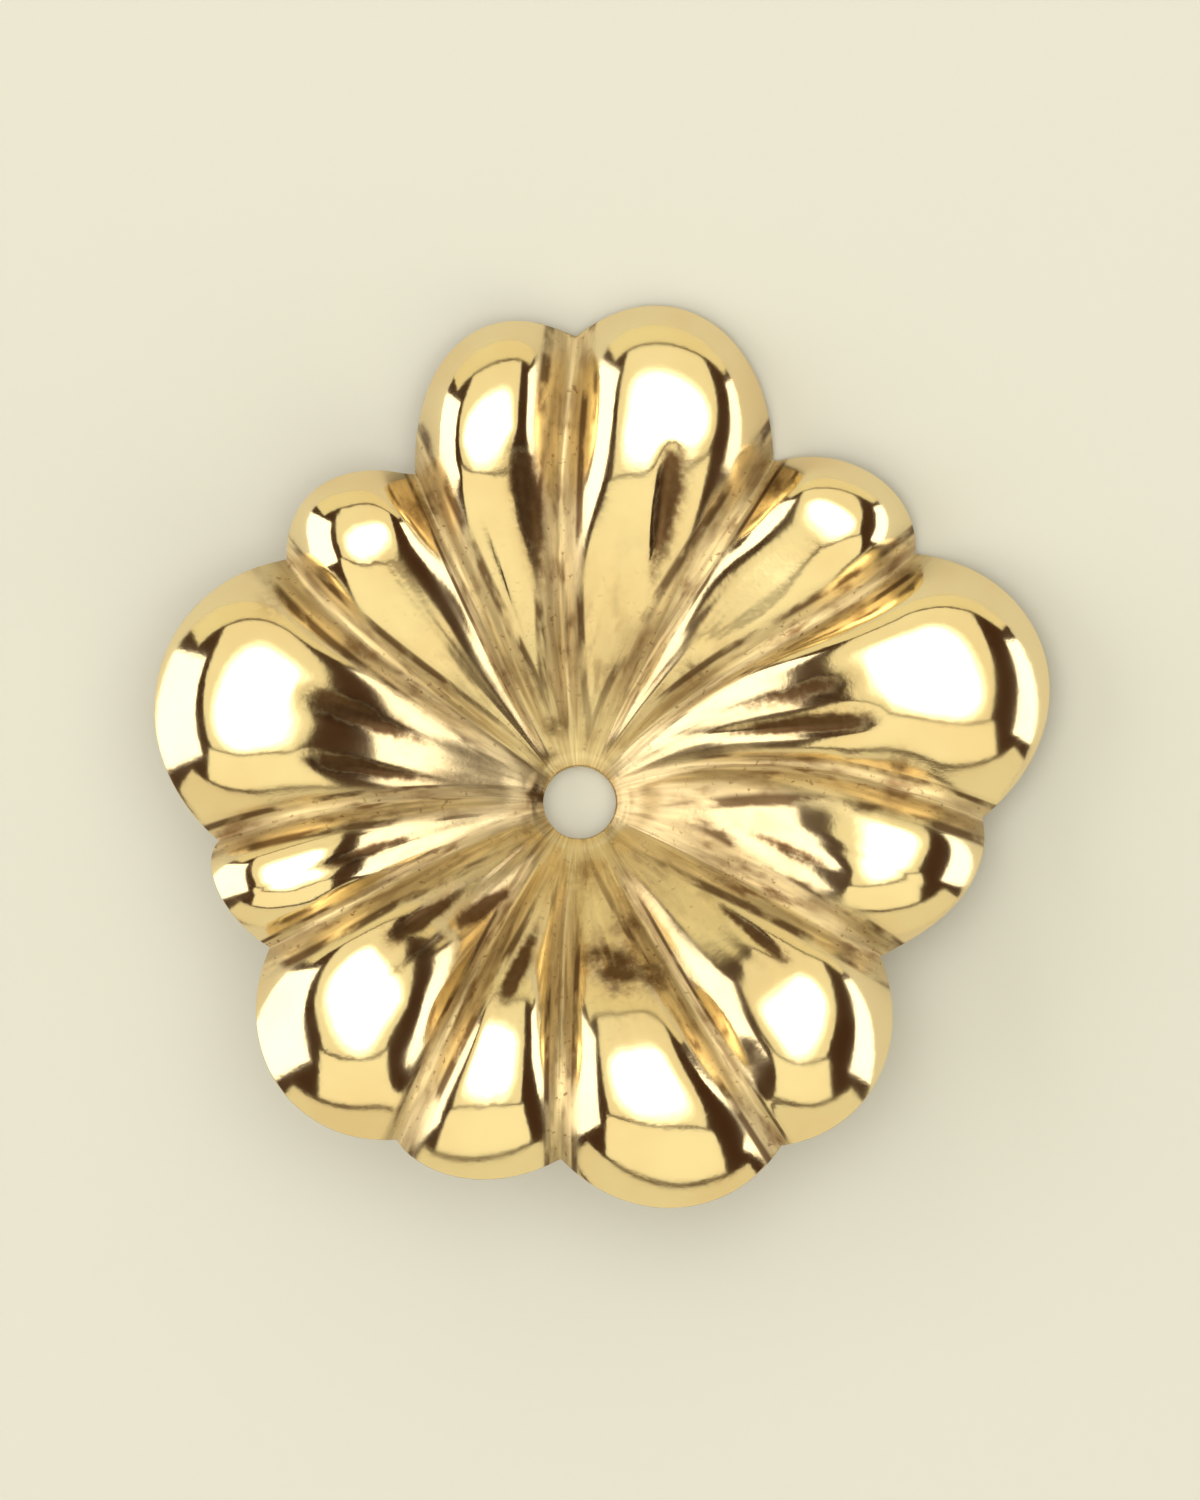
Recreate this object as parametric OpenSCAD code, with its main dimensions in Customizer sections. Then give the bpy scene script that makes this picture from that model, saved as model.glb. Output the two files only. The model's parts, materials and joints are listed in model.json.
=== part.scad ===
// Fluted flower earring jacket. It is one stamped piece of thin gold sheet: twelve rounded lobes with
// valleys between them, which run down into a recessed centre with a hole for an earring's post.
// Millimetres. The flower lies on its back as it does on a table, leaning towards its long side.
// Seen from above, +X is to the right, +Y is up and +Z is towards the viewer.

/* [Sheet] */
// Thickness of the stamped sheet
sheet = 0.2; // [0.15:0.01:0.21]

/* [Centre] */
// Diameter of the hole for the earring's post
hole_d = 1.0; // [0.8:0.05:1.1]
// Radius of the flat floor round the hole
seat_r = 0.65; // [0.6:0.01:0.8]

/* [Dish] */
// Slope of the valleys where they climb out of the centre
valley_slope = 0.62; // [0.58:0.01:0.66]
// Height of the valleys where they level out, over the back of the centre
valley_top = 1.75; // [1.6:0.05:1.8]
// How softly the valleys bend where they level out
valley_bend = 0.5; // [0.2:0.1:0.8]
// Radius at which the ridges bend towards their domes
ridge_bend_r = 2.3; // [2:0.1:2.5]
// How softly the ridges bend there
ridge_bend = 0.2; // [0.1:0.05:0.3]
// How gently the ridges rise out of the valleys at the floor
ridge_start = 0.35; // [0.3:0.05:0.6]

/* [Lobe ends] */
// Width of the band at the outline where a valley curves down
valley_run = 1.0; // [0.6:0.1:1.4]
// How late and how steeply valleys and domes curve down
end_round = 2.5; // [2.2:0.1:4]
// Roundness across a lobe near the centre: 1 is a sharp roof, 2 is a plain arch
inner_arch = 2.2; // [1.6:0.1:2.2]
// Roundness across a lobe at its dome
outer_arch = 4.5; // [2.2:0.1:4.6]

/* [Lobes] */
// Each lobe and the valley before it, anticlockwise from the right, in degrees and millimetres.
// The valley's angles at the floor, halfway out and at the outline come first, then its length and the
// height of its end. bulge and peak shape the outline over the lobe, and crest is where its ridge runs,
// from 0 to 1. climb is the ridge's slope out of the centre, shoulder the radius at which the ridge
// reaches the dome, and softness how gently the two meet. run is the width of the band at the outline
// where the dome curves down to the tip.
// seat_angle, mid_angle, rim_angle, rim_r, valley_end, bulge, peak, crest,
//     climb, shoulder, softness, dome_height, run, tip_height
lobes = [
    [ 22,   7,  -3, 5.50, 1.40, 1.05, 0.50, 0.60, 0.75, 3.65, 0.90, 2.42, 1.30, 1.85],
    [ 50,  38,  36, 5.65, 1.45, 0.45, 0.45, 0.55, 0.75, 5.00, 0.10, 2.35, 0.90, 1.90],
    [ 68,  62,  60, 5.30, 1.40, 0.95, 0.50, 0.56, 0.75, 4.70, 0.20, 2.44, 1.25, 1.90],
    [ 97,  94, 90.5, 6.25, 1.70, 0.85, 0.52, 0.43, 0.75, 4.75, 0.17, 2.44, 1.25, 1.90],
    [122, 119, 117, 4.95, 1.40, 0.45, 0.55, 0.40, 0.75, 4.35, 0.12, 2.32, 1.00, 1.85],
    [143, 145, 141, 5.15, 1.40, 0.92, 0.50, 0.42, 0.75, 3.65, 0.70, 2.40, 1.20, 1.85],
    [176, 182, 187, 4.95, 1.40, 0.25, 0.40, 0.40, 0.75, 3.30, 0.30, 2.15, 0.90, 1.75],
    [199, 205, 206, 4.70, 1.35, 0.70, 0.50, 0.38, 0.85, 3.10, 0.50, 2.25, 1.70, 1.60],
    [236, 240, 242, 5.30, 1.35, 0.30, 0.45, 0.38, 0.88, 2.92, 0.45, 2.15, 1.80, 1.50],
    [262, 265, 267, 4.95, 1.35, 0.55, 0.50, 0.54, 0.85, 3.05, 0.55, 2.22, 2.00, 1.50],
    [296, 298, 300, 5.50, 1.35, 0.55, 0.50, 0.52, 0.80, 3.60, 0.30, 2.25, 1.50, 1.60],
    [335, 333, 332, 4.65, 1.35, 0.30, 0.58, 0.72, 0.80, 3.80, 0.25, 2.25, 1.25, 1.70],
]; // [one row for each lobe]

/* [Rest] */
// Angle by which the flower leans when it lies on its back
lean = 15.5; // [0:0.1:20]
// Direction that it leans towards, from +X
lean_to = 62.4; // [0:0.1:360]

/* [Smoothness] */
// Columns of facets across each lobe
columns = 12; // [6:1:14]
// Rings of facets from the floor to the outline
rings = 18; // [10:1:20]

/* [Hidden] */

gold = [0.93, 0.79, 0.45];
lobe_count = len(lobes);
around = lobe_count * columns;
// Columns of the table of lobes
SEAT_ANGLE = 0;
MID_ANGLE = 1;
RIM_ANGLE = 2;
RIM_R = 3;
VALLEY_END = 4;
BULGE = 5;
PEAK = 6;
CREST = 7;
CLIMB = 8;
SHOULDER = 9;
SOFTNESS = 10;
DOME_HEIGHT = 11;
RUN = 12;
TIP_HEIGHT = 13;
// The valleys start a little way outside the floor's edge
valley_ease = 0.08;
// The rings lie closer together near the floor and closest at the outline
floor_packing = 1.25;
outline_packing = 1.6;
// The arch across a lobe opens out over this share of the way from the floor to the outline
arch_opens = 0.6;

function mix(a, b, t) = a + (b - a) * t;
function clamp(x) = max(0, min(1, x));
function soft_min(a, b, k) = let (h = clamp(0.5 + 0.5 * (b - a) / k)) mix(b, a, h) - k * h * (1 - h);
function bow(a, middle, b, s) = mix(a, b, s) + (middle - (a + b) / 2) * 4 * s * (1 - s);

// Angle of the valley before lobe i, at s of the way from the floor to the outline
function valley_angle(i, s) =
    let (v = lobes[i % lobe_count], turn = i < lobe_count ? 0 : 360)
    bow(v[SEAT_ANGLE], v[MID_ANGLE], v[RIM_ANGLE], s) + turn;

// Radius of the outline over lobe i, at t of the way across it
function outline_r(i, t) =
    let (
        lobe = lobes[i],
        next = lobes[(i + 1) % lobe_count],
        arch = 2 * pow(t, ln(0.5) / ln(lobe[PEAK])) - 1
    )
    mix(lobe[RIM_R], next[RIM_R], t) + lobe[BULGE] * (1 - arch * arch);

// Height of the valleys at radius r, before they curve down at the outline
function valley_height(r) =
    let (out = r - seat_r, climbed = valley_slope * out * out / (out + valley_ease))
    sheet + soft_min(climbed, valley_top - sheet, valley_bend);

// Height of the crest of lobe i: a steep ridge, then a flatter one, and then the level dome
function crest_height(i, r) =
    let (
        lobe = lobes[i],
        bend_height = sheet + lobe[CLIMB] * (ridge_bend_r - seat_r),
        flatter_slope = (lobe[DOME_HEIGHT] - bend_height) / (lobe[SHOULDER] - ridge_bend_r),
        steep = sheet + lobe[CLIMB] * (r - seat_r),
        flatter = bend_height + flatter_slope * (r - ridge_bend_r)
    )
    soft_min(soft_min(steep, flatter, ridge_bend), lobe[DOME_HEIGHT], lobe[SOFTNESS]);

// Share of the crest's height over the valleys, at t across lobe i: none at its valleys, all at its crest
function arch(i, t, roundness) =
    let (crest = lobes[i][CREST])
    1 - pow(t < crest ? 1 - t / crest : (t - crest) / (1 - crest), roundness);

// Height of the sheet's front on lobe i, at t across it and radius r
function front_height(i, t, r) =
    let (
        lobe = lobes[i],
        next = lobes[(i + 1) % lobe_count],
        outline = outline_r(i, t),
        opened = clamp((r - seat_r) / (outline - seat_r) / arch_opens),
        started = (r - seat_r) / (r - seat_r + ridge_start),
        ridge = max(0, crest_height(i, r) - valley_height(r)) * started,
        rise = ridge * arch(i, t, mix(inner_arch, outer_arch, opened)),
        end_share = arch(i, t, outer_arch),
        valley_end = mix(lobe[VALLEY_END], next[VALLEY_END], t),
        drop = mix(valley_top - valley_end, lobe[DOME_HEIGHT] - lobe[TIP_HEIGHT], end_share),
        near_end = clamp(1 - (outline - r) / mix(valley_run, lobe[RUN], end_share))
    )
    valley_height(r) + rise - drop * pow(near_end, end_round);

// Point of the sheet's front on lobe i, at t across it and s of the way from the floor to the outline
function front_point(i, t, s) =
    let (
        angle = mix(valley_angle(i, s), valley_angle(i + 1, s), t),
        r = mix(seat_r, outline_r(i, t), s)
    )
    [r * cos(angle), r * sin(angle), front_height(i, t, r)];

function ring_share(k) = 1 - pow(1 - pow(k / rings, floor_packing), outline_packing);
function column_share(k) = (1 - cos(180 * k / columns)) / 2;

front = [
    for (k = [0 : rings])
        let (s = ring_share(k))
        [for (i = [0 : lobe_count - 1], c = [0 : columns - 1]) front_point(i, column_share(c), s)]
];

// The back lies one thickness behind the front, square to the sheet
function unit(v) = v / norm(v);
function front_normal(k, j) =
    k == 0
        ? [0, 0, 1]
        : let (
            outwards = front[min(k + 1, rings)][j] - front[k - 1][j],
            sideways = front[k][(j + 1) % around] - front[k][(j + around - 1) % around]
        )
        unit(cross(outwards, sideways));
back = [
    for (k = [0 : rings])
        [for (j = [0 : around - 1]) front[k][j] - sheet * front_normal(k, j)]
];

// The skin as one list of points: the front's rings, the back's rings and the two middles of the floor
flower_points = concat(
    [for (ring = front) each ring],
    [for (ring = back) each ring],
    [[0, 0, sheet], [0, 0, 0]]
);
back_start = (rings + 1) * around;
front_middle = 2 * back_start;
back_middle = front_middle + 1;
function next_column(j) = (j + 1) % around;
function quad(a, b, c, d) = [[a, b, c], [a, c, d]];
front_faces = [
    for (k = [0 : rings - 1], j = [0 : around - 1])
        let (here = k * around, out = here + around)
        each quad(here + j, here + next_column(j), out + next_column(j), out + j)
];
back_faces = [for (f = front_faces) [f[2] + back_start, f[1] + back_start, f[0] + back_start]];
rim_faces = [
    for (j = [0 : around - 1])
        let (edge = rings * around)
        each quad(edge + j, edge + next_column(j), back_start + edge + next_column(j), back_start + edge + j)
];
floor_faces = [
    for (j = [0 : around - 1])
        each [[front_middle, next_column(j), j], [back_middle, back_start + j, back_start + next_column(j)]]
];

// Turning the flower about a level line lays it in its rest pose, and the shift puts the middle of its
// box over the origin, with its lowest point at the height of the table
lean_line = [-sin(lean_to), cos(lean_to), 0];
function leant(p) =
    p * cos(lean) + cross(lean_line, p) * sin(lean) + lean_line * (lean_line * p) * (1 - cos(lean));
leant_points = [for (p = flower_points) leant(p)];
low = [for (axis = [0 : 2]) min([for (p = leant_points) p[axis]])];
high = [for (axis = [0 : 2]) max([for (p = leant_points) p[axis]])];
rest_shift = [-(low[0] + high[0]) / 2, -(low[1] + high[1]) / 2, -low[2]];

module fluted_sheet() {
    polyhedron(points = flower_points, faces = concat(front_faces, back_faces, rim_faces, floor_faces));
}

module post_hole() {
    translate([0, 0, -sheet])
        cylinder(h = 3 * sheet, d = hole_d, $fn = 64);
}

module flower() {
    color(gold)
        translate(rest_shift)
            rotate(a = lean, v = lean_line)
                difference() {
                    fluted_sheet();
                    post_hole();
                }
}

flower();
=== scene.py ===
"""Looks of the fluted flower earring jacket: one piece of thin polished gold sheet.

The sheet is built from the same sizes as the CAD solid, with the finer folds, wrinkles and dents that the
solid leaves out. Sizes are in millimetres until the mesh is made, and in metres from there on.
The flower's own axes have their origin at the back of the post hole, +Z out of the front and +Y up the
photograph.
"""

import json
import math
from collections import namedtuple

import bpy
import numpy as np
from mathutils import Matrix, Vector, noise


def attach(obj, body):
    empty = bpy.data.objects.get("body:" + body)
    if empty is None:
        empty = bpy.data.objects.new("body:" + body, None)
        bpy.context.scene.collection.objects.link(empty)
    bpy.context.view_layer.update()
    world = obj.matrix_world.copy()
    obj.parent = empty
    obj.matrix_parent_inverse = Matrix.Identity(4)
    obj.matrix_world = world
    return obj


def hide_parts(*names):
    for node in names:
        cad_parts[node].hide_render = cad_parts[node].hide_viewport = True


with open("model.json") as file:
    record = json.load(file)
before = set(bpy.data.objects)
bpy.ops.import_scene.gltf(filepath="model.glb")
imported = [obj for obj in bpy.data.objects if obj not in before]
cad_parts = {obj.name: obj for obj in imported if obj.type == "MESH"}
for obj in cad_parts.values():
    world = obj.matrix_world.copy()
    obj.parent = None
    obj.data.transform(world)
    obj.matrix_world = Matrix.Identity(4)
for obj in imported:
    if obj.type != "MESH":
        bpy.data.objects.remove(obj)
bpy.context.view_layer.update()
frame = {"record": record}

MM = 0.001

# Sizes of the sheet, as in the CAD source: its thickness, and the radii of the hole and of the flat seat
SHEET = 0.2
HOLE_R = 0.5
SEAT_R = 0.65

# Slope of the valleys, how gently they leave the flat seat, and where and how gently they level off
VALLEY_SLOPE = 0.62
VALLEY_EASE = 0.08
VALLEY_TOP = 1.75
VALLEY_BEND = 0.5

# Where the ridges bend, how gently, and how far out from the seat they have half their height
RIDGE_BEND_R = 2.3
RIDGE_BEND = 0.2
RIDGE_START = 0.35

# How far before the outline a valley starts to fall, and how round the fall is there and on the lobes
VALLEY_RUN = 1.0
END_ROUND = 2.5

# How boxy a lobe's section is near the seat and further out, and the share of the way that the change takes
INNER_ARCH = 2.2
OUTER_ARCH = 4.5
ARCH_OPENS = 0.6

# The lobes, in turn from the right. The three angles, in degrees, are those of the valley before the lobe:
# at the seat, half way and at the outline. The outline's radius there and the valley's height there follow.
# Bulge is how far the outline stands out between its valleys, and peak where, as a share of the way round.
# The ridge runs at the crest, with the slope climb up to the bend. The dome starts at the shoulder with the
# given softness, and falls over its run to the height of its tip at the outline.
Lobe = namedtuple(
    "Lobe",
    "name seat_angle mid_angle rim_angle rim_r valley_end bulge peak crest"
    " climb shoulder softness dome_height run tip_height",
)
LOBES = [
    Lobe("right_upper", 22, 7, -3, 5.50, 1.40, 1.05, 0.50, 0.60, 0.75, 3.65, 0.90, 2.42, 1.30, 1.85),
    Lobe("top_right_small", 50, 38, 36, 5.65, 1.45, 0.45, 0.45, 0.55, 0.75, 5.00, 0.10, 2.35, 0.90, 1.90),
    Lobe("top_right", 68, 62, 60, 5.30, 1.40, 0.95, 0.50, 0.56, 0.75, 4.70, 0.20, 2.44, 1.25, 1.90),
    Lobe("top_left", 97, 94, 90.5, 6.25, 1.70, 0.85, 0.52, 0.43, 0.75, 4.75, 0.17, 2.44, 1.25, 1.90),
    Lobe("top_left_small", 122, 119, 117, 4.95, 1.40, 0.45, 0.55, 0.40, 0.75, 4.35, 0.12, 2.32, 1.00, 1.85),
    Lobe("left_upper", 143, 145, 141, 5.15, 1.40, 0.92, 0.50, 0.42, 0.75, 3.65, 0.70, 2.40, 1.20, 1.85),
    Lobe("left_small", 176, 182, 187, 4.95, 1.40, 0.25, 0.40, 0.40, 0.75, 3.30, 0.30, 2.15, 0.90, 1.75),
    Lobe("left_lower", 199, 205, 206, 4.70, 1.35, 0.70, 0.50, 0.38, 0.85, 3.10, 0.50, 2.25, 1.70, 1.60),
    Lobe("bottom_left", 236, 240, 242, 5.30, 1.35, 0.30, 0.45, 0.38, 0.88, 2.92, 0.45, 2.15, 1.80, 1.50),
    Lobe("bottom", 262, 265, 267, 4.95, 1.35, 0.55, 0.50, 0.54, 0.85, 3.05, 0.55, 2.22, 2.00, 1.50),
    Lobe("bottom_right", 296, 298, 300, 5.50, 1.35, 0.55, 0.50, 0.52, 0.80, 3.60, 0.30, 2.25, 1.50, 1.60),
    Lobe("right_small", 335, 333, 332, 4.65, 1.35, 0.30, 0.58, 0.72, 0.80, 3.80, 0.25, 2.25, 1.25, 1.70),
]

# Folds pressed into the lobes between floor and dome. Each runs from its first end to its second one, in the
# flower's own axes, and widens on the way. A negative depth is a crease, a positive one a ridge. Right and
# left are its half widths on either side, looking along it. The last column is how dark the brown painted
# shade in it is.
Fold = namedtuple("Fold", "lobe x0 y0 x1 y1 right left depth tarnish")
FOLDS = [
    Fold("top_left", -0.40, 1.30, -1.45, 4.30, 0.12, 0.12, -0.05, 0.0),
    Fold("top_left", -0.36, 1.90, -0.85, 4.95, 0.26, 0.26, -0.06, 1.0),
    Fold("top_right", 0.86, 2.10, 1.26, 4.85, 0.34, 0.14, -0.12, 1.0),
    Fold("top_right", 0.62, 1.30, 2.02, 4.30, 0.14, 0.08, -0.05, 0.3),
    Fold("right_upper", 0.85, 0.82, 4.20, 0.98, 0.12, 0.22, -0.10, 1.0),
    Fold("right_upper", 1.00, 0.95, 3.90, 1.60, 0.24, 0.20, -0.03, 0.7),
    Fold("right_upper", 0.95, 0.50, 3.60, 0.45, 0.12, 0.12, -0.04, 0.3),
    Fold("right_small", 1.20, 0.05, 3.70, -1.15, 0.14, 0.12, -0.05, 0.6),
    Fold("right_small", 3.30, -1.05, 2.70, 0.35, 0.90, 0.90, 0.08, 0.0),
    Fold("bottom_right", 1.30, -0.95, 2.95, -2.40, 0.12, 0.12, -0.05, 0.9),
    Fold("bottom_right", 1.15, -0.62, 3.30, -2.10, 0.10, 0.10, -0.02, 0.0),
    Fold("bottom", 0.35, -0.95, 0.85, -2.95, 0.46, 0.42, -0.02, 0.30),
    Fold("bottom", 0.12, -1.20, 0.55, -2.75, 0.12, 0.10, -0.04, 0.7),
    Fold("bottom_left", -0.30, -1.10, -1.10, -2.95, 0.14, 0.18, -0.04, 1.0),
    Fold("left_lower", -0.45, -0.85, -1.75, -1.85, 0.18, 0.16, -0.03, 1.0),
    Fold("left_lower", -1.00, -1.30, -2.75, -2.60, 0.10, 0.10, -0.01, 0.6),
    Fold("left_lower", -0.90, -0.80, -2.75, -2.10, 0.16, 0.18, -0.03, 1.0),
    Fold("left_small", -1.15, -0.12, -3.75, -1.10, 0.12, 0.12, -0.04, 0.8),
    Fold("left_upper", -1.20, 0.42, -3.90, 1.40, 0.24, 0.22, -0.06, 1.0),
    Fold("left_upper", -1.20, 0.12, -3.90, 0.50, 0.18, 0.16, -0.05, 1.0),
]

# How round the bottom of a fold is and how wide its first end is, as shares of its half width, and how
# quickly its sides run out
FOLD_ROUND = 0.3
FOLD_FIRST_WIDTH = 0.35
FOLD_STEEPNESS = 1.4

# Soft patches of brown painted shade beside the folds, most of them in the inner half of the flower
ShadePatch = namedtuple("ShadePatch", "x y radius darkness")
SHADE_PATCHES = [
    ShadePatch(-0.64, 0.06, 0.17, 0.60),
    ShadePatch(-0.34, 1.00, 0.22, 0.50),
    ShadePatch(-0.40, 0.62, 0.16, 0.42),
    ShadePatch(-0.75, -0.45, 0.30, 0.32),
    ShadePatch(0.05, -1.10, 0.45, 0.30),
    ShadePatch(0.70, -1.35, 0.40, 0.30),
    ShadePatch(0.55, -2.35, 0.45, 0.62),
    ShadePatch(0.98, -2.45, 0.32, 0.58),
    ShadePatch(0.18, -2.20, 0.30, 0.52),
    ShadePatch(0.62, -1.75, 0.35, 0.42),
    ShadePatch(1.55, 1.70, 0.28, 0.42),
    ShadePatch(1.55, -0.30, 0.30, 0.34),
    ShadePatch(2.05, -1.05, 0.32, 0.34),
    ShadePatch(0.45, 1.70, 0.30, 0.30),
    ShadePatch(-1.00, 1.65, 0.25, 0.36),
    ShadePatch(2.62, 4.18, 0.38, 0.42),
    ShadePatch(-2.08, 3.92, 0.38, 0.42),
    ShadePatch(4.75, 1.95, 0.28, 0.30),
    ShadePatch(4.35, 0.35, 0.35, 0.38),
    ShadePatch(-4.20, 2.60, 0.30, 0.30),
]

# The valleys, each named for the lobe after it. Right and left are how far the stained band reaches from it
# on either side, looking outwards. A fine bead stands in some of them, where the die squeezed the sheet.
Valley = namedtuple("Valley", "name right left bead")
VALLEYS = [
    Valley("right_upper", 0.38, 0.16, 0.020),
    Valley("top_right_small", 0.22, 0.30, 0.010),
    Valley("top_right", 0.14, 0.32, 0.010),
    Valley("top_left", 0.26, 0.38, 0.000),
    Valley("top_left_small", 0.40, 0.12, 0.000),
    Valley("left_upper", 0.25, 0.38, 0.005),
    Valley("left_small", 0.20, 0.28, 0.020),
    Valley("left_lower", 0.12, 0.35, 0.010),
    Valley("bottom_left", 0.16, 0.30, 0.000),
    Valley("bottom", 0.20, 0.22, 0.005),
    Valley("bottom_right", 0.27, 0.12, 0.000),
    Valley("right_small", 0.32, 0.28, 0.020),
]

# The bead's half width, and the radii between which it rises to its height
BEAD_HALF_WIDTH = 0.06
BEAD_FROM_R = 0.9
BEAD_FULL_R = 1.8

# Between these shares of a lobe's width its marks change from those of the valley before to the next one's
MARKS_CHANGE_FROM = 0.3
MARKS_CHANGE_TO = 0.7

# How round a valley is near the centre and at the outline, and the radii between which that changes
VALLEY_ROUND = 0.05
VALLEY_ROUND_AT_END = 0.25
VALLEY_WIDENS_FROM_R = 2.0
VALLEY_WIDENS_TO_R = 4.5

# Round the hole the front goes on down to the hole's edge, by about this much
CUP_RISE = 0.11
CUP_BEND = 0.06
CUP_FADES_FROM_R = 0.9
CUP_END_R = 2.2

# Unevenness of the pressed sheet: long streaks along the flutes, which fade towards the outline, with finer
# ones in them, soft dents everywhere but on the floor, and pits round the hole
STREAK_HEIGHT = 0.016
STREAKS_PER_LOBE = 5
STREAK_BREAKS = 2.2
FINE_STREAK_SHARE = 0.4
FINE_STREAKS_PER_LOBE = 11.5
FINE_STREAK_BREAKS = 4.0
STREAKS_FULL_R = 3
STREAKS_FADE_FROM_R = 2.6
STREAKS_FADE_TO_R = 4.6
STREAKS_AT_OUTLINE = 0.25
DENT_HEIGHT = 0.02
DENTS_PER_MM = 0.7
FLOOR_MARGIN = 0.5
PIT_HEIGHT = 0.022
PITS_PER_MM = 2.6
PITS_END_R = 1.4

# Where each kind of noise is read, and how far apart the lobes read their streaks, so that no two are alike
STREAK_SEED = 3.7
FINE_STREAK_SEED = 8.2
DENT_SEED = 1.3
PIT_SEED = 5.1
STREAK_SHIFT = 17.3
FINE_STREAK_SHIFT = 9.1

# Fineness of the mesh: columns of points in each lobe, rings from the seat to the outline, and rows on the
# floor and on the rounded edge. On the back only every third row is kept.
COLUMNS = 44
RINGS = 120
BACK_STEP = 3
FLOOR_ROWS = 6
RIM_ROWS = 5

# How much closer the rings stand at the floor and at the outline, and the columns at the valleys
FLOOR_PACKING = 1.25
OUTLINE_PACKING = 1.6
VALLEY_PACKING = 0.6

# How far the rounded edge stands out, as a share of half the sheet's thickness
EDGE_BULGE = 0.5

# No length is divided by a distance smaller than this
LEAST_DISTANCE = 1e-6


# In the functions below, i counts the lobes, s is the share of the way from the seat to the outline, t the
# share of the way round from the valley before the lobe to the next one, and r the distance from the axis


def mix(a, b, t):
    return a + (b - a) * t


def smooth_step(low, high, x):
    t = np.clip((x - low) / (high - low), 0, 1)
    return t * t * (3 - 2 * t)


def soft_min(a, b, k):
    """The lesser of two values, going over softly from one to the other where they differ by less than k."""
    h = np.clip(0.5 + 0.5 * (b - a) / k, 0, 1)
    return mix(b, a, h) - k * h * (1 - h)


def bow(a, middle, b, s):
    """A smooth run from a to b that passes through the middle value half way."""
    return mix(a, b, s) + (middle - (a + b) / 2) * 4 * s * (1 - s)


def valley_angle(i, s):
    v = LOBES[i % len(LOBES)]
    turn = 0 if i < len(LOBES) else 360
    return bow(v.seat_angle, v.mid_angle, v.rim_angle, s) + turn


def outline_r(i, t):
    """Distance of the outline from the axis."""
    lobe, following = LOBES[i], LOBES[(i + 1) % len(LOBES)]
    from_peak = 2 * np.power(t, math.log(0.5) / math.log(lobe.peak)) - 1
    return mix(lobe.rim_r, following.rim_r, t) + lobe.bulge * (1 - from_peak * from_peak)


def valley_height(r):
    """Height of the front in the valleys."""
    out = r - SEAT_R
    climb = VALLEY_SLOPE * out * out / (out + VALLEY_EASE)
    return SHEET + soft_min(climb, VALLEY_TOP - SHEET, VALLEY_BEND)


def crest_height(i, r):
    """Height of the front along the ridge of a lobe: a first slope, a flatter one, and the dome."""
    lobe = LOBES[i]
    bend_height = SHEET + lobe.climb * (RIDGE_BEND_R - SEAT_R)
    beyond = (lobe.dome_height - bend_height) / (lobe.shoulder - RIDGE_BEND_R)
    first = SHEET + lobe.climb * (r - SEAT_R)
    second = bend_height + beyond * (r - RIDGE_BEND_R)
    return soft_min(soft_min(first, second, RIDGE_BEND), lobe.dome_height, lobe.softness)


def valley_distance(i, t, r):
    """How far each point lies from the nearer valley, in millimetres round the flower."""
    span = np.radians(valley_angle(i + 1, 1) - valley_angle(i, 1)) * r
    return np.minimum(t, 1 - t) * span


def valley_marks(i, t, r):
    """Height of the nearer valley's bead at each point, and how far the point is in the stained band."""
    before, after = VALLEYS[i], VALLEYS[(i + 1) % len(VALLEYS)]
    nearer = smooth_step(MARKS_CHANGE_FROM, MARKS_CHANGE_TO, t)
    away = valley_distance(i, t, r)
    bead = np.exp(-((away / BEAD_HALF_WIDTH) ** 2)) * smooth_step(BEAD_FROM_R, BEAD_FULL_R, r)
    band = np.exp(-((away / mix(before.left, after.right, nearer)) ** 4))
    return mix(before.bead, after.bead, nearer) * bead, band


def arch(i, t, roundness):
    """Section of a lobe, from 0 in its valleys to 1 at its crest."""
    crest = LOBES[i].crest
    aside = np.where(t < crest, 1 - t / crest, (t - crest) / (1 - crest))
    return 1 - aside ** roundness


def front_height(i, t, r):
    """Height of the pressed form, before folds and unevenness."""
    lobe = LOBES[i]
    outline = outline_r(i, t)
    away = valley_distance(i, t, r)
    widened = smooth_step(VALLEY_WIDENS_FROM_R, VALLEY_WIDENS_TO_R, r)
    round_r = mix(VALLEY_ROUND, VALLEY_ROUND_AT_END, widened)
    rounded = (np.sqrt(away ** 2 + round_r ** 2) - round_r) / np.maximum(away, LEAST_DISTANCE)
    soft_t = np.where(t < 0.5, t * rounded, 1 - (1 - t) * rounded)
    opened = np.clip((r - SEAT_R) / (outline - SEAT_R) / ARCH_OPENS, 0, 1)
    started = (r - SEAT_R) / (r - SEAT_R + RIDGE_START)
    ridge = np.clip(crest_height(i, r) - valley_height(r), 0, None) * started
    rise = ridge * arch(i, soft_t, mix(INNER_ARCH, OUTER_ARCH, opened))
    end_share = arch(i, soft_t, OUTER_ARCH)
    valley_end = mix(lobe.valley_end, LOBES[(i + 1) % len(LOBES)].valley_end, t)
    drop = mix(VALLEY_TOP - valley_end, lobe.dome_height - lobe.tip_height, end_share)
    near_end = np.clip(1 - (outline - r) / mix(VALLEY_RUN, lobe.run, end_share), 0, 1)
    return valley_height(r) + rise - drop * near_end ** END_ROUND


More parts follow.
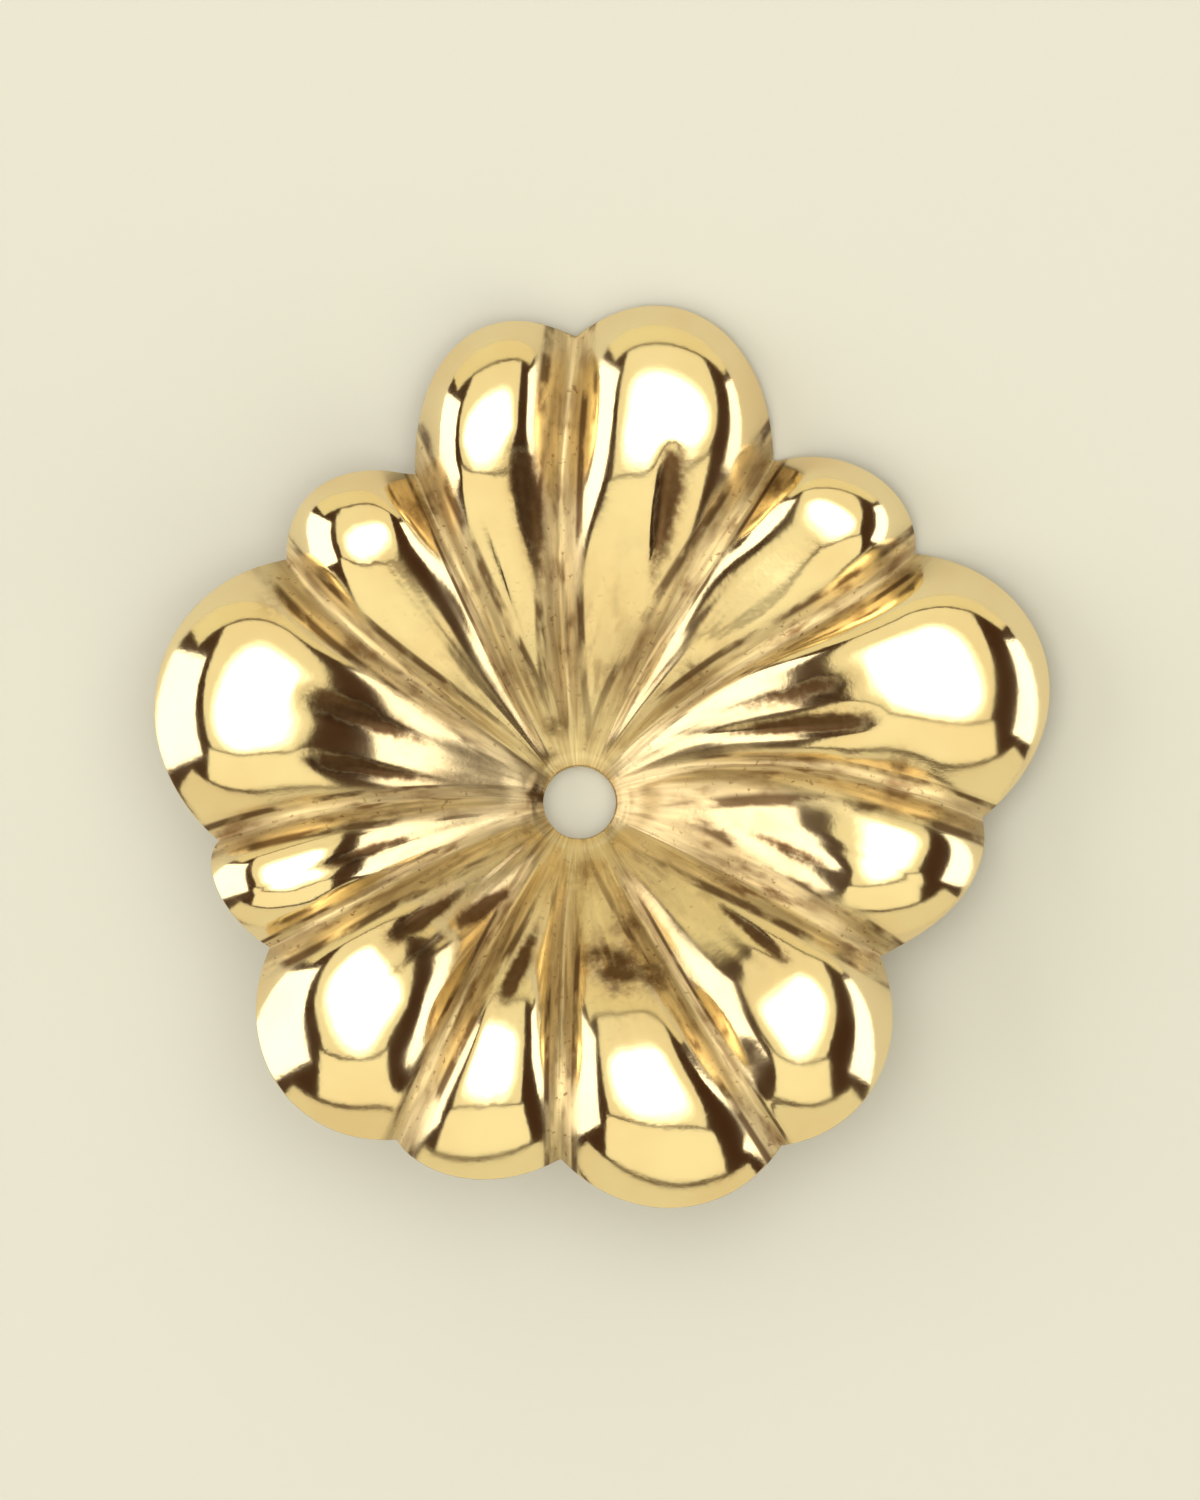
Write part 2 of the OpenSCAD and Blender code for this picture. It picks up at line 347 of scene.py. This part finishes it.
def folds_at(lobe, x, y):
    """Height of the lobe's folds at each point, and how dark the brown painted shade in them is."""
    height, tarnish = np.zeros_like(x), np.zeros_like(x)
    for fold in FOLDS:
        if fold.lobe != lobe.name:
            continue
        run_x, run_y = fold.x1 - fold.x0, fold.y1 - fold.y0
        from_x, from_y = x - fold.x0, y - fold.y0
        along = np.clip((from_x * run_x + from_y * run_y) / (run_x ** 2 + run_y ** 2), 0, 1)
        distance = np.hypot(from_x - along * run_x, from_y - along * run_y)
        taper = np.sin(np.pi * along ** 2)
        on_left = run_x * from_y > run_y * from_x
        half_width = np.where(on_left, fold.left, fold.right) * mix(FOLD_FIRST_WIDTH, 1, along)
        off_line = distance / half_width
        sharp = np.sqrt(off_line ** 2 + FOLD_ROUND ** 2) - FOLD_ROUND
        height += fold.depth * taper * np.exp(-FOLD_STEEPNESS * sharp)
        # Dark brown painted shade along the fold, strongest on its line
        tarnish = np.maximum(tarnish, fold.tarnish * taper * np.exp(-(off_line ** 2)))
    return height, tarnish


# How dark the brown painted shade of the patches is at each point
def shade_patches_at(x, y):
    darkness = np.zeros_like(x)
    for shade_patch in SHADE_PATCHES:
        off_centre = np.hypot(x - shade_patch.x, y - shade_patch.y) / shade_patch.radius
        darkness = np.maximum(darkness, shade_patch.darkness * np.exp(-(off_centre ** 2)))
    return darkness


def noise_over(a, b, seed):
    """Smooth noise at each pair of coordinates."""
    flat = [noise.noise(Vector((p, q, seed))) for p, q in zip(a.ravel(), b.ravel())]
    return np.array(flat).reshape(a.shape)


def pit_height(x, y, r):
    pits = noise_over(x * PITS_PER_MM, y * PITS_PER_MM, PIT_SEED)
    return PIT_HEIGHT * pits * (1 - smooth_step(SEAT_R, PITS_END_R, r))


def cup_height(r):
    """Rise of the front from the hole's edge, which dies away again further up."""
    rise = soft_min(VALLEY_SLOPE * (r - HOLE_R), CUP_RISE, CUP_BEND)
    return rise * (1 - smooth_step(CUP_FADES_FROM_R, CUP_END_R, r))


def streak_height(i, s, t, r):
    streaks = noise_over(t * STREAKS_PER_LOBE + STREAK_SHIFT * i, s * STREAK_BREAKS, STREAK_SEED)
    fine_across = t * FINE_STREAKS_PER_LOBE + FINE_STREAK_SHIFT * i
    fine_streaks = noise_over(fine_across, s * FINE_STREAK_BREAKS, FINE_STREAK_SEED)
    fade = mix(1, STREAKS_AT_OUTLINE, smooth_step(STREAKS_FADE_FROM_R, STREAKS_FADE_TO_R, r))
    share = fade * np.clip(r / STREAKS_FULL_R, 0, 1)
    return STREAK_HEIGHT * (streaks + FINE_STREAK_SHARE * fine_streaks) * share


def unevenness(i, s, t, x, y, r):
    dents = DENT_HEIGHT * noise_over(x * DENTS_PER_MM, y * DENTS_PER_MM, DENT_SEED)
    clear_of_floor = smooth_step(SEAT_R, SEAT_R + FLOOR_MARGIN, r)
    return (streak_height(i, s, t, r) + dents) * clear_of_floor + pit_height(x, y, r)


def front_surface():
    """Rings of points on the sheet's front, from the floor to the outline, and the marks on each point.

    The marks are how far the point is in a stained band, and how dark the painted shade of the folds and
    shade patches is there.
    """
    even_rings = np.arange(RINGS + 1) / RINGS
    even_columns = np.arange(COLUMNS) / COLUMNS
    packed_rings = 1 - (1 - even_rings ** FLOOR_PACKING) ** OUTLINE_PACKING
    packed_columns = mix(even_columns, (1 - np.cos(np.pi * even_columns)) / 2, VALLEY_PACKING)
    s, t = np.meshgrid(packed_rings, packed_columns, indexing="ij")
    points, marks = [], []
    for i, lobe in enumerate(LOBES):
        angle = np.radians(mix(valley_angle(i, s), valley_angle(i + 1, s), t))
        r = mix(SEAT_R, outline_r(i, t), s)
        x, y = r * np.cos(angle), r * np.sin(angle)
        bead, band = valley_marks(i, t, r)
        folds, tarnish = folds_at(lobe, x, y)
        height = front_height(i, t, r) + cup_height(r) + bead + folds + unevenness(i, s, t, x, y, r)
        points.append(np.stack([x, y, height], axis=-1))
        marks.append(np.stack([band, np.maximum(tarnish, shade_patches_at(x, y))], axis=-1))
    return np.concatenate(points, axis=1), np.concatenate(marks, axis=1)


def unit(v):
    return v / np.linalg.norm(v, axis=-1, keepdims=True)


def sheet_normals(rings):
    """Directions square to the sheet, out of its front."""
    outwards = np.gradient(rings, axis=0)
    sideways = np.roll(rings, -1, axis=1) - np.roll(rings, 1, axis=1)
    return unit(np.cross(outwards, sideways))


def floor_rows(first_ring):
    """Rows of the flat floor, from the hole's edge to just inside the first ring."""
    r0 = np.linalg.norm(first_ring[:, :2], axis=1, keepdims=True)
    rows = []
    for k in range(FLOOR_ROWS):
        r = mix(HOLE_R, SEAT_R, k / FLOOR_ROWS)
        row = first_ring.copy()
        row[:, :2] *= r / r0
        row[:, 2] += cup_height(r) - cup_height(r0[:, 0])
        row[:, 2] += pit_height(row[:, 0], row[:, 1], r)
        row[:, 2] -= pit_height(first_ring[:, 0], first_ring[:, 1], r0[:, 0])
        rows.append(row)
    return np.array(rows)


def closed_rows():
    """All rows of the sheet's skin, as one loop: floor, front, rim and back; and the marks on each point."""
    front, marks = front_surface()
    front = np.concatenate([floor_rows(front[0]), front])
    marks = np.concatenate([np.repeat(marks[:1], FLOOR_ROWS, axis=0), marks])
    normal = sheet_normals(front)
    normal[:FLOOR_ROWS] = (0, 0, 1)
    back = front - SHEET * normal
    back[..., 2] -= cup_height(np.linalg.norm(front[..., :2], axis=-1))
    kept = np.unique(np.append(np.arange(0, len(front), BACK_STEP), len(front) - 1))
    outward = unit(front[-1] - front[-2])
    middle = (front[-1] + back[-1]) / 2
    rim = []
    for k in range(1, RIM_ROWS):
        turn = math.pi * k / RIM_ROWS
        around = math.cos(turn) * normal[-1] + EDGE_BULGE * math.sin(turn) * outward
        rim.append(middle + SHEET / 2 * around)
    rows = np.concatenate([front, np.array(rim), back[kept][::-1]])
    rim_marks = np.repeat(marks[-1:], RIM_ROWS - 1, axis=0)
    return rows, np.concatenate([marks, rim_marks, marks[kept][::-1]])


def rest_matrix():
    """Where the flower's own axes lie: the hole's mount gives the axis and the place."""
    mount = next(m for m in frame["record"]["mounts"] if m["name"] == "post_hole")
    axis = Vector(mount["axis"]).normalized()
    turn = Vector((0, 0, 1)).rotation_difference(axis).to_matrix().to_4x4()
    half_wall = axis * mount["dims"]["length_mm"] * MM / 2
    return Matrix.Translation(Vector(mount["pos_m"]) - half_wall) @ turn


REST = rest_matrix()


def grid_mesh(name, rows):
    """A closed skin of quads over rows of points, which wrap round both ways."""
    row_count, column_count = rows.shape[:2]
    index = np.arange(row_count * column_count).reshape(row_count, column_count)
    below, beside = np.roll(index, -1, axis=0), np.roll(index, -1, axis=1)
    both = np.roll(below, -1, axis=1)
    quads = np.stack([index, below, both, beside], axis=-1).reshape(-1, 4)
    turn = np.array(REST.to_3x3())
    points = rows.reshape(-1, 3) * MM @ turn.T + np.array(REST.translation)
    mesh = bpy.data.meshes.new(name)
    mesh.from_pydata(points.tolist(), [], quads.tolist())
    mesh.validate()
    mesh.polygons.foreach_set("use_smooth", [True] * len(mesh.polygons))
    return mesh


def add_attribute(mesh, name, values):
    attribute = mesh.attributes.new(name, "FLOAT", "POINT")
    attribute.data.foreach_set("value", values.ravel().astype(np.float32))


class Nodes:
    """Short calls for a material's nodes and links."""

    def __init__(self, material):
        material.use_nodes = True
        self.tree = material.node_tree
        self.shader = self.tree.nodes["Principled BSDF"]

    def add(self, kind, links=(), **settings):
        """A new node. Each setting is one of the node's own properties, or else the value of an input."""
        node = self.tree.nodes.new(kind)
        for name, value in settings.items():
            if hasattr(node, name):
                setattr(node, name, value)
            else:
                node.inputs[name].default_value = value
        for socket, source in links:
            self.tree.links.new(source, node.inputs[socket])
        return node

    def attribute(self, name):
        return self.add("ShaderNodeAttribute", attribute_name=name).outputs["Fac"]

    def streaks(self, per_lobe, per_mm, detail=2.0):
        """Noise drawn out along the flutes, given how fine it is across a lobe and along a millimetre."""
        across = self.math("MULTIPLY", self.attribute("lobe_count"), per_lobe)
        along = self.math("MULTIPLY", self.attribute("from_axis"), per_mm)
        flow = self.add("ShaderNodeCombineXYZ", [("X", across), ("Y", along)]).outputs["Vector"]
        return self.noise(flow, 1.0, detail)

    def noise(self, coordinates, scale, detail=2.0):
        node = self.add("ShaderNodeTexNoise", [("Vector", coordinates)], Scale=scale, Detail=detail)
        return node.outputs["Fac"]

    def remap(self, value, from_low, from_high, to_low, to_high):
        """The value, taken from the first range to the second by a soft step."""
        node = self.add("ShaderNodeMapRange", [("Value", value)], interpolation_type="SMOOTHSTEP")
        node.inputs["From Min"].default_value = from_low
        node.inputs["From Max"].default_value = from_high
        node.inputs["To Min"].default_value = to_low
        node.inputs["To Max"].default_value = to_high
        return node.outputs["Result"]

    def math(self, operation, a, b):
        node = self.add("ShaderNodeMath", operation=operation)
        for socket, value in zip(node.inputs, (a, b)):
            if isinstance(value, (int, float)):
                socket.default_value = value
            else:
                self.tree.links.new(value, socket)
        return node.outputs["Value"]

    def mix_colour(self, share, a, b):
        node = self.add("ShaderNodeMix", [("Factor", share)], data_type="RGBA")
        for name, value in (("A", a), ("B", b)):
            socket = next(i for i in node.inputs if i.name == name and i.type == "RGBA")
            if isinstance(value, tuple):
                socket.default_value = value
            else:
                self.tree.links.new(value, socket)
        return next(o for o in node.outputs if o.type == "RGBA")


GOLD = (0.86, 0.71, 0.42, 1)
WARM_GOLD = (0.82, 0.64, 0.36, 1)
TAN = (0.62, 0.50, 0.29, 1)
DULL_TAN = (0.44, 0.34, 0.19, 1)
BROWN = (0.22, 0.12, 0.05, 1)
# The dark brown of the painted shade
PAINTED_SHADE_BROWN = (0.10, 0.05, 0.02, 1)

# Streaks in the gold: how fine they are across a lobe and along a millimetre, and their detail
WIDE_STREAKS = (7.0, 0.9)
LONG_STREAKS = (11.0, 0.8, 3)
FINE_STREAKS = (7.0, 1.8, 5)
BROKEN_EDGES = (5.0, 1.1, 5)

# How fine each other kind of noise in the gold is, per metre
CLOUDS = 700
SMUDGES = 900
PATCHES = 1500
PAINTED_SHADE_EDGE = 4000
GRAIN = 9000
SPECKLE = 9000
SPECKS = 11000

# The matt bands have this share of their strength at the centre, and the whole of it from the second radius
BANDS_AT_CENTRE = 0.35
BANDS_FROM_R = 0.8
BANDS_FULL_R = 2.2

# Between the bands the gold is painted tan and brown by this much at the centre, and less and less up to the
# second radius: painted shade of the inner slopes, with streaky stain in it
INNER_SHADE_AT_CENTRE = 0.5
INNER_SHADE_FROM_R = 1.0
INNER_SHADE_END_R = 4.4

# How much the edge of the painted shade wanders
PAINTED_SHADE_WANDER = 0.8

# Roughness of clean gold, and what smudges, the stained and painted-shade parts and the matt bands add to it
# at most
CLEAN_ROUGHNESS = 0.085
SMUDGE_ROUGHNESS = 0.05
STAINED_ROUGHNESS = 0.24
MATT_ROUGHNESS = 0.22

# Depth of the wrinkles in the stained and inner painted-shade parts and of the grain, in metres
WRINKLE_DEPTH = 0.000005
GRAIN_DEPTH = 0.00002
GRAIN_STRENGTH = 0.06


def stain_and_shade_parts(n):
    """How far each point is in a matt band, how far outside the centre, and its share of stain and painted
    inner shade in all.
    """
    outer = n.remap(n.attribute("from_axis"), BANDS_FROM_R, BANDS_FULL_R, BANDS_AT_CENTRE, 1.0)
    # Painted shade of the inner slopes, strongest at the centre
    inner = n.remap(n.attribute("from_axis"), INNER_SHADE_FROM_R, INNER_SHADE_END_R, 1.0, 0.0)
    in_band = n.math("MULTIPLY", n.attribute("near_valley"), outer)
    stain_and_inner_shade = n.math("MAXIMUM", in_band, n.math("MULTIPLY", inner, INNER_SHADE_AT_CENTRE))
    return in_band, outer, stain_and_inner_shade


def painted_dark_shade(n, place, outer):
    """Painted shade: dark brown with an uneven edge in the creases and shade patches, and broken painted
    dark lines beside the bands.
    """
    about_nought = n.math("SUBTRACT", n.noise(place, PAINTED_SHADE_EDGE, 4), 0.5)
    wander = n.math("MULTIPLY", about_nought, PAINTED_SHADE_WANDER)
    in_creases = n.remap(n.math("ADD", n.attribute("tarnish"), wander), 0.28, 0.68, 0.0, 0.95)
    valley = n.attribute("near_valley")
    beside_band = n.math("MULTIPLY", valley, n.math("SUBTRACT", 1.0, valley))
    broken = n.remap(n.streaks(*BROKEN_EDGES), 0.40, 0.56, 0.0, 0.9)
    edge = n.math("MULTIPLY", n.remap(beside_band, 0.14, 0.24, 0.0, 1.0), broken)
    return n.math("MAXIMUM", in_creases, n.math("MULTIPLY", edge, outer))


def gold_colour(n, place, in_band, stain_and_inner_shade, painted_shade_share):
    """Clean gold with warmer clouds, and over it tan, dull and brown streaks and stains, darker towards the
    centre as painted shade, and dark brown painted shade with a brown halo in creases, patches and beside
    the bands.
    """
    cloudy = n.remap(n.noise(place, CLOUDS, 3), 0.35, 0.7, 0.0, 1.0)
    colour = n.mix_colour(cloudy, GOLD, WARM_GOLD)
    # Tan streaks, brown streaks and specks over the stained bands and the painted shade of the inner slopes
    wide_streaks = n.remap(n.streaks(*WIDE_STREAKS), 0.36, 0.60, 0.1, 1.0)
    colour = n.mix_colour(n.math("MULTIPLY", wide_streaks, stain_and_inner_shade), colour, TAN)
    long_streaks = n.remap(n.streaks(*LONG_STREAKS), 0.38, 0.64, 0.1, 1.0)
    colour = n.mix_colour(n.math("MULTIPLY", long_streaks, in_band), colour, DULL_TAN)
    patchy = n.remap(n.noise(place, PATCHES, 3), 0.42, 0.62, 0.35, 1.0)
    fine_streaks = n.remap(n.streaks(*FINE_STREAKS), 0.46, 0.68, 0.0, 0.95)
    brown = n.math("MULTIPLY", n.math("MULTIPLY", fine_streaks, stain_and_inner_shade), patchy)
    specks = n.remap(n.noise(place, SPECKS, 3), 0.60, 0.72, 0.0, 0.75)
    brown = n.math("MAXIMUM", brown, n.math("MULTIPLY", specks, stain_and_inner_shade))
    colour = n.mix_colour(brown, colour, BROWN)
    # A speckled brown halo of painted shade round the creases and shade patches
    speckled = n.remap(n.noise(place, SPECKLE, 3), 0.40, 0.60, 0.35, 1.0)
    painted_shade_halo = n.math("MULTIPLY", n.remap(n.attribute("tarnish"), 0.04, 0.62, 0.0, 0.72), speckled)
    colour = n.mix_colour(painted_shade_halo, colour, BROWN)
    # Dark brown painted shade over all
    return n.mix_colour(painted_shade_share, colour, PAINTED_SHADE_BROWN)


def gold_roughness(n, place, in_band, stain_and_inner_shade, painted_shade_share):
    smudges = n.remap(n.noise(place, SMUDGES, 4), 0.3, 0.7, 0.0, SMUDGE_ROUGHNESS)
    dull = n.math("MULTIPLY", n.math("MAXIMUM", stain_and_inner_shade, painted_shade_share), STAINED_ROUGHNESS)
    matt = n.math("MULTIPLY", in_band, MATT_ROUGHNESS)
    roughness = n.math("ADD", n.math("ADD", dull, matt), smudges)
    return n.math("ADD", roughness, CLEAN_ROUGHNESS)


def gold_relief(n, place, stain_and_inner_shade):
    """Wrinkles along the flutes where the gold carries stain and the painted inner shade, and a fine grain
    all over.
    """
    links = [("Height", n.streaks(*WIDE_STREAKS)), ("Strength", stain_and_inner_shade)]
    wrinkles = n.add("ShaderNodeBump", links, Distance=WRINKLE_DEPTH)
    links = [("Height", n.noise(place, GRAIN, 3)), ("Normal", wrinkles.outputs["Normal"])]
    grain = n.add("ShaderNodeBump", links, Strength=GRAIN_STRENGTH, Distance=GRAIN_DEPTH)
    return grain.outputs["Normal"]


def gold_material():
    material = bpy.data.materials.new("polished_gold")
    n = Nodes(material)
    place = n.add("ShaderNodeTexCoord").outputs["Object"]
    in_band, outer, stain_and_inner_shade = stain_and_shade_parts(n)
    painted_shade_share = painted_dark_shade(n, place, outer)
    surface = {
        "Base Color": gold_colour(n, place, in_band, stain_and_inner_shade, painted_shade_share),
        "Roughness": gold_roughness(n, place, in_band, stain_and_inner_shade, painted_shade_share),
        "Normal": gold_relief(n, place, stain_and_inner_shade),
    }
    for socket, source in surface.items():
        n.tree.links.new(source, n.shader.inputs[socket])
    n.shader.inputs["Metallic"].default_value = 1.0
    return material


def make_flower():
    rows, marks = closed_rows()
    mesh = grid_mesh("flower_sheet", rows)
    add_attribute(mesh, "near_valley", marks[..., 0])
    add_attribute(mesh, "tarnish", marks[..., 1])
    add_attribute(mesh, "from_axis", np.linalg.norm(rows[..., :2], axis=-1))
    round_flower = np.arange(rows.shape[1]) / COLUMNS
    add_attribute(mesh, "lobe_count", np.broadcast_to(round_flower, rows.shape[:2]))
    flower = bpy.data.objects.new("flower_sheet", mesh)
    bpy.context.collection.objects.link(flower)
    mesh.materials.append(gold_material())
    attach(flower, "root")
    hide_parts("flower")


# The camera looks almost straight into the flower, from slightly below its axis in the photograph. It aims
# at a point in the flower's own axes. The sensor's size goes with the picture's height, its longer side.
CAMERA_LEAN = math.radians(4)
CAMERA_DISTANCE = 0.25
FRAME_WIDTH = 16.4 * MM
FRAME_ASPECT = 1500 / 1200
SENSOR = 36
AIM = Vector((0.28, 0.65, 1.2)) * MM


def view_axes():
    """Rotation whose columns are the photograph's right, its up and the way to the camera."""
    right = Vector((1, 0, 0))
    up = Vector((0, math.cos(CAMERA_LEAN), math.sin(CAMERA_LEAN)))
    towards = right.cross(up)
    turn = REST.to_3x3()
    return Matrix([turn @ right, turn @ up, turn @ towards]).transposed()


VIEW = view_axes()
CENTRE = REST @ AIM


def make_camera():
    data = bpy.data.cameras.new("camera")
    data.sensor_width = SENSOR
    data.lens = SENSOR * CAMERA_DISTANCE / (FRAME_WIDTH * FRAME_ASPECT)
    data.clip_start = 0.01
    data.clip_end = 10
    camera = bpy.data.objects.new("camera", data)
    camera.matrix_world = Matrix.Translation(CENTRE + VIEW.col[2] * CAMERA_DISTANCE) @ VIEW.to_4x4()
    bpy.context.collection.objects.link(camera)
    bpy.context.scene.camera = camera


WARM = (1.0, 0.965, 0.70)
WHITE = (1.0, 0.98, 0.90)
AMBER = (1.0, 0.95, 0.62)

# The lights. The azimuth runs round the photograph from its right side, and the tilt is measured from the
# way to the camera, both in degrees. Width, height and distance from the flower are in metres.
Panel = namedtuple("Panel", "name shape azimuth tilt width height distance radiance colour")
PANELS = [
    Panel("ceiling", "RECTANGLE", 90, 16, 0.32, 0.36, 0.22, 1.00, WARM),
    Panel("soft_box_heart", "ELLIPSE", 90, 2, 0.140, 0.130, 0.200, 1.40, WHITE),
    Panel("soft_box", "ELLIPSE", 90, 2, 0.170, 0.160, 0.203, 0.60, WHITE),
    Panel("soft_box_edge", "ELLIPSE", 90, 2, 0.195, 0.185, 0.206, 0.40, WHITE),
    Panel("soft_box_glow", "ELLIPSE", 90, 2, 0.220, 0.210, 0.209, 0.25, WHITE),
    Panel("right_wall", "RECTANGLE", 0, 82, 0.27, 0.17, 0.24, 2.3, WHITE),
    Panel("left_wall", "RECTANGLE", 180, 74, 0.27, 0.24, 0.24, 2.3, WHITE),
    Panel("top_wall", "RECTANGLE", 90, 81, 0.60, 0.20, 0.24, 0.90, AMBER),
    Panel("bottom_wall", "RECTANGLE", 270, 44, 0.33, 0.160, 0.24, 1.10, WARM),
    Panel("bottom_edge", "RECTANGLE", 270, 84, 0.60, 0.155, 0.24, 0.85, WARM),
]


def make_panel(panel):
    azimuth, tilt = math.radians(panel.azimuth), math.radians(panel.tilt)
    side = Vector((math.cos(azimuth), math.sin(azimuth), 0))
    towards = side * math.sin(tilt) + Vector((0, 0, math.cos(tilt)))
    across = Vector((0, 0, 1)).cross(side)
    upright = towards.cross(across)
    data = bpy.data.lights.new(panel.name, "AREA")
    data.shape = panel.shape
    data.size, data.size_y = panel.width, panel.height
    data.color = panel.colour
    data.energy = panel.radiance * math.pi * panel.width * panel.height
    light = bpy.data.objects.new(panel.name, data)
    turn = VIEW @ Matrix([across, upright, towards]).transposed()
    light.matrix_world = Matrix.Translation(CENTRE + VIEW @ towards * panel.distance) @ turn.to_4x4()
    light.visible_camera = False
    bpy.context.collection.objects.link(light)


# Colours of the world
DARK_SURROUNDINGS = (0.063, 0.029, 0.014, 1)
PALE_BACKDROP = (0.80, 0.77, 0.65, 1)


def make_world():
    """Dark surroundings for the polished gold to mirror, and a pale backdrop that the camera alone sees."""
    world = bpy.data.worlds.new("studio")
    world.use_nodes = True
    nodes, links = world.node_tree.nodes, world.node_tree.links
    dark, pale = nodes["Background"], nodes.new("ShaderNodeBackground")
    dark.inputs["Color"].default_value = DARK_SURROUNDINGS
    pale.inputs["Color"].default_value = PALE_BACKDROP
    seen = nodes.new("ShaderNodeLightPath").outputs["Is Camera Ray"]
    either = nodes.new("ShaderNodeMixShader")
    for socket, source in zip(either.inputs, (seen, dark.outputs[0], pale.outputs[0])):
        links.new(source, socket)
    links.new(either.outputs[0], nodes["World Output"].inputs["Surface"])
    bpy.context.scene.world = world


# The floor ends just behind the lights, which don't reach further
FLOOR_HALF_SIZE = 0.27
FLOOR_COLOUR = (0.58, 0.58, 0.56, 1)
FLOOR_ROUGHNESS = 0.9


def make_floor():
    mesh = bpy.data.meshes.new("floor")
    half = FLOOR_HALF_SIZE
    corners = [(-half, -half, 0), (half, -half, 0), (half, half, 0), (-half, half, 0)]
    mesh.from_pydata(corners, [], [(0, 1, 2, 3)])
    floor = bpy.data.objects.new("floor", mesh)
    bpy.context.collection.objects.link(floor)
    material = bpy.data.materials.new("floor_paper")
    material.use_nodes = True
    shader = material.node_tree.nodes["Principled BSDF"]
    shader.inputs["Base Color"].default_value = FLOOR_COLOUR
    shader.inputs["Roughness"].default_value = FLOOR_ROUGHNESS
    mesh.materials.append(material)


make_camera()
for panel in PANELS:
    make_panel(panel)
make_world()
make_floor()
make_flower()
bpy.context.scene.view_settings.view_transform = "Standard"
